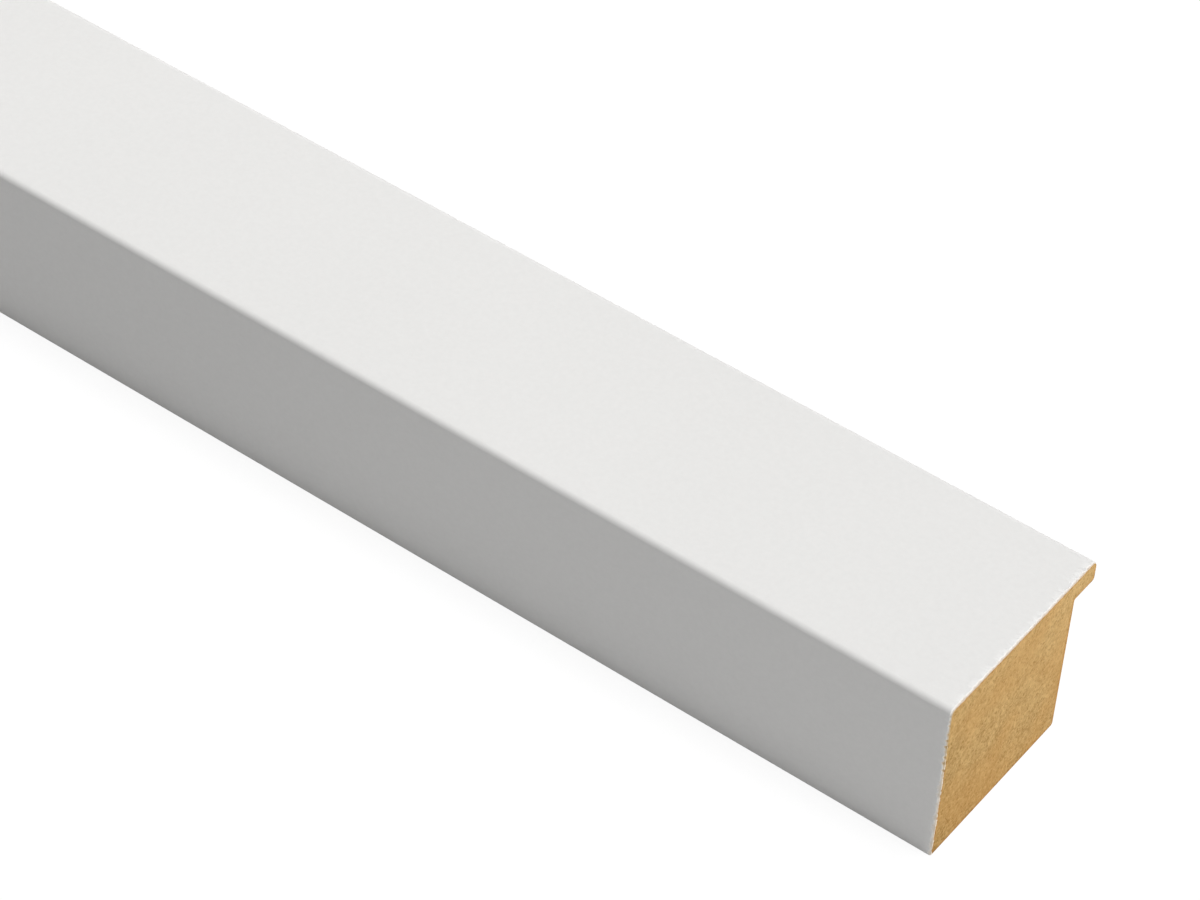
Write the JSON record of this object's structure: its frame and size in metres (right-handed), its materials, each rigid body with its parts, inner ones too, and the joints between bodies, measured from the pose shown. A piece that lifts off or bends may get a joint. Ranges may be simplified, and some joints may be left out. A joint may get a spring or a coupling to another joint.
{
  "type": "picture frame moulding",
  "caption": "Straight stick of white box-section picture frame moulding in timber, with a deep rebate along one back edge for glass, board and picture.",
  "frame": {"origin": "middle of the length, on the base, midway between the outer side and the sight edge", "axes": "+X along the stick, +Y from the outer side towards the rebate and sight edge, +Z from the base up to the face"},
  "size_m": [1, 0.0408, 0.033],
  "materials": {
    "timber": "matte",
    "white coat": "matte"
  },
  "bodies": {
    "root": {"timber_stick": "timber", "white_coat": "white coat"}
  },
  "joints": []
}
